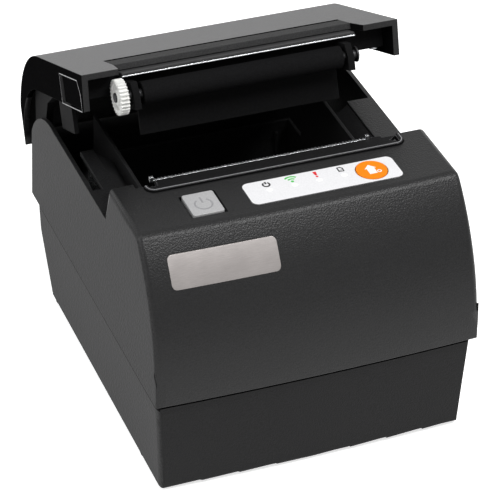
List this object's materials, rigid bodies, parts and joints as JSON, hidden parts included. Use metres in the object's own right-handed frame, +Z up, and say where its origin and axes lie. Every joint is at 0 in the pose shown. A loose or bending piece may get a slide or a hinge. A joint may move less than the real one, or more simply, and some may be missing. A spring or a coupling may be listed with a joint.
{
  "type": "receipt printer",
  "caption": "Counter-top thermal receipt printer with a rear-hinged lid standing part open, platen roller on the lid, tear bar, cutter, feed gears and a front control panel.",
  "frame": {"origin": "middle of the footprint in plan with the lid as pictured, on the plane the rubber feet stand on", "axes": "+Z up, front faces -Y, +X to the right of a person facing the front"},
  "size_m": [0.14, 0.1783, 0.1458],
  "materials": {
    "case_plastic": "fine moulded grain",
    "lid_plastic": "fine moulded grain",
    "black_plastic": "satin",
    "grey_plastic": "satin",
    "orange_plastic": "satin",
    "white_plastic": "satin",
    "clear_plastic": "clear",
    "label_film": "printed film",
    "rubber": "matt",
    "roller_rubber": "ground",
    "bright_steel": "brushed",
    "zinc_steel": "zinc plated",
    "motor_steel": "plated",
    "plate_metal": "brushed",
    "aluminium": "extruded",
    "ceramic": "glazed",
    "brass": "machined",
    "circuit_board": "solder mask"
  },
  "bodies": {
    "printer": {"base_case": "case_plastic", "upper_case": "case_plastic", "rubber_feet": "rubber", "case_screws": "zinc_steel", "board_screws": "zinc_steel", "mechanism_screws": "zinc_steel", "main_board": "circuit_board", "panel_board": "circuit_board", "drawer_socket": "black_plastic", "usb_socket": "bright_steel", "network_socket": "bright_steel", "power_socket": "black_plastic", "paper_bucket": "black_plastic", "paper_sensor": "black_plastic", "latch_keeper": "bright_steel", "exit_bezel": "black_plastic", "tear_bar": "bright_steel", "control_label": "label_film", "led_light_pipes": "clear_plastic", "power_switch": "black_plastic", "feed_switch": "black_plastic", "nameplate": "plate_metal", "gear_posts": "bright_steel", "feed_motor": "motor_steel", "mechanism_frame": "zinc_steel", "head_pivot_pin": "bright_steel", "head_springs": "bright_steel", "cutter_frame": "zinc_steel", "cutter_motor": "motor_steel", "hinge_pins": "bright_steel"},
    "power_button": {"power_button": "grey_plastic"},
    "feed_key": {"feed_key": "orange_plastic"},
    "drive_gear": {"drive_gear": "white_plastic"},
    "idler_gear": {"idler_gear": "white_plastic"},
    "motor_pinion": {"motor_pinion": "brass"},
    "print_head": {"head_heatsink": "aluminium", "head_ceramic": "ceramic"},
    "moving_blade": {"moving_blade": "bright_steel"},
    "cutter_pinion": {"cutter_pinion": "brass"},
    "lid": {"lid_cover": "lid_plastic", "lid_frame": "black_plastic", "lid_screws": "zinc_steel", "exit_lip": "black_plastic", "fixed_blade": "bright_steel", "paper_guide": "black_plastic", "platen_bushes": "black_plastic"},
    "platen": {"platen_shaft": "bright_steel", "platen_roller": "roller_rubber", "platen_clip": "bright_steel", "platen_gear": "white_plastic"}
  },
  "joints": [
    {"name": "lid_hinge", "type": "hinge", "parent": "printer", "child": "lid", "pos_m": [0, 0.07265, 0.051], "axis": [-1, 0, 0], "range_deg": [-23.1, 47]},
    {"name": "platen_spin", "type": "hinge", "parent": "lid", "child": "platen", "pos_m": [0, 0.00228, 0.13428], "axis": [1, 0, 0], "continuous": true},
    {"name": "idler_spin", "type": "hinge", "parent": "printer", "child": "idler_gear", "pos_m": [-0.0535, -0.04258, 0.06945], "axis": [1, 0, 0], "continuous": true},
    {"name": "drive_spin", "type": "hinge", "parent": "printer", "child": "drive_gear", "pos_m": [-0.0535, -0.03325, 0.0856], "axis": [1, 0, 0], "continuous": true},
    {"name": "pinion_spin", "type": "hinge", "parent": "printer", "child": "motor_pinion", "pos_m": [-0.0535, -0.05483, 0.06237], "axis": [1, 0, 0], "continuous": true},
    {"name": "head_pivot", "type": "hinge", "parent": "printer", "child": "print_head", "pos_m": [0, -0.03425, 0.079], "axis": [1, 0, 0], "range_deg": [0, 2], "stiffness_Nm_per_rad": 2},
    {"name": "blade_slide", "type": "slide", "parent": "printer", "child": "moving_blade", "axis": [0, 1, 0], "range_m": [0, 0.006]},
    {"name": "cutter_turn", "type": "hinge", "parent": "printer", "child": "cutter_pinion", "pos_m": [0.04398, -0.04375, 0.1061], "axis": [0, 0, 1], "range_deg": [0, 114.6]},
    {"name": "power_press", "type": "slide", "parent": "printer", "child": "power_button", "axis": [0, 0, -1], "range_m": [0, 0.0008], "stiffness_N_per_m": 1200},
    {"name": "feed_press", "type": "slide", "parent": "printer", "child": "feed_key", "axis": [0, 0, -1], "range_m": [0, 0.0005], "stiffness_N_per_m": 1500}
  ],
  "couplings": [
    {"joint": "drive_spin", "follows": "idler_spin", "ratio": -1.1765},
    {"joint": "pinion_spin", "follows": "idler_spin", "ratio": -2.5},
    {"joint": "cutter_turn", "follows": "blade_slide", "rad_per_m": 333.33}
  ]
}
